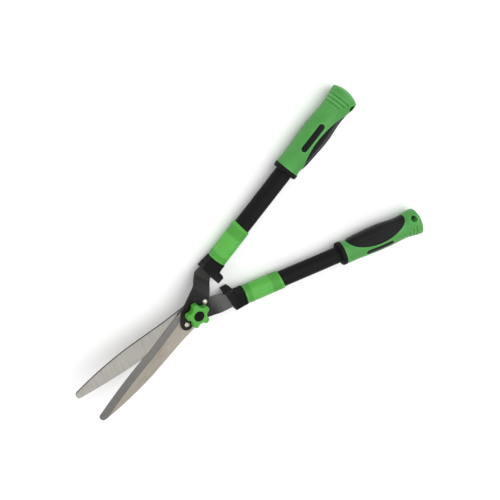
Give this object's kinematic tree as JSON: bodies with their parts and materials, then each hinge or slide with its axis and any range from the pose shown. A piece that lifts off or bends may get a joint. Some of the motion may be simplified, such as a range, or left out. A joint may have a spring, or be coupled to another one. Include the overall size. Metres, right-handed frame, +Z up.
{
  "type": "hedge shears",
  "caption": "Two-handed hedge shears with straight bevelled blades, riveted tangs, stop blocks, tubular handles with soft grips and a star tension knob at the pivot.",
  "frame": {"origin": "on the surface that the shears lie on, under the middle of their bounding box", "axes": "+X along the middle line from the blades to the grips, +Z up out of the surface, knob up; the front half's handle is on the +Y side"},
  "size_m": [0.5392, 0.2786, 0.056],
  "materials": {
    "blade_steel": "ground and brushed",
    "black_paint": "satin powder coat",
    "rivet_steel": "zinc plated",
    "insert_brass": "machined",
    "black_nylon": "fine grain",
    "green_plastic": "satin",
    "grip_green": "satin",
    "soft_black": "soft matte"
  },
  "bodies": {
    "rear_half": {"rear_blade": "blade_steel", "rear_tang": "black_paint", "rear_blade_rivets": "rivet_steel", "rear_stop_block": "black_nylon", "rear_joint_sleeve": "green_plastic", "rear_handle_tube": "black_paint", "rear_handle_pin": "rivet_steel", "rear_grip_liner": "black_nylon", "rear_grip_shell": "grip_green", "rear_grip_pad": "soft_black", "rear_grip_inlays": "soft_black", "pivot_bolt": "rivet_steel"},
    "front_half": {"front_blade": "blade_steel", "front_tang": "black_paint", "front_blade_rivets": "rivet_steel", "front_stop_block": "black_nylon", "front_joint_sleeve": "green_plastic", "front_handle_tube": "black_paint", "front_handle_pin": "rivet_steel", "front_grip_liner": "black_nylon", "front_grip_shell": "grip_green", "front_grip_pad": "soft_black", "front_grip_inlays": "soft_black"},
    "washers": {"plain_washer": "rivet_steel", "spring_washer": "rivet_steel"},
    "knob": {"star_knob": "green_plastic", "knob_insert": "insert_brass", "knob_cap": "black_nylon"}
  },
  "joints": [
    {"name": "blade_pivot", "type": "hinge", "parent": "rear_half", "child": "front_half", "pos_m": [-0.07762, 0, 0.02649], "axis": [0.1409, 0, 0.99], "range_deg": [-20.7, 40]},
    {"name": "washer_travel", "type": "slide", "parent": "rear_half", "child": "washers", "axis": [0.1409, 0, 0.99], "range_m": [0, 0.00187]},
    {"name": "knob_turn", "type": "hinge", "parent": "washers", "child": "knob", "pos_m": [-0.07762, 0, 0.02649], "axis": [0.1409, 0, 0.99], "range_deg": [0, 540]}
  ],
  "couplings": [
    {"joint": "knob_turn", "follows": "washer_travel", "rad_per_m": 5026.5}
  ]
}
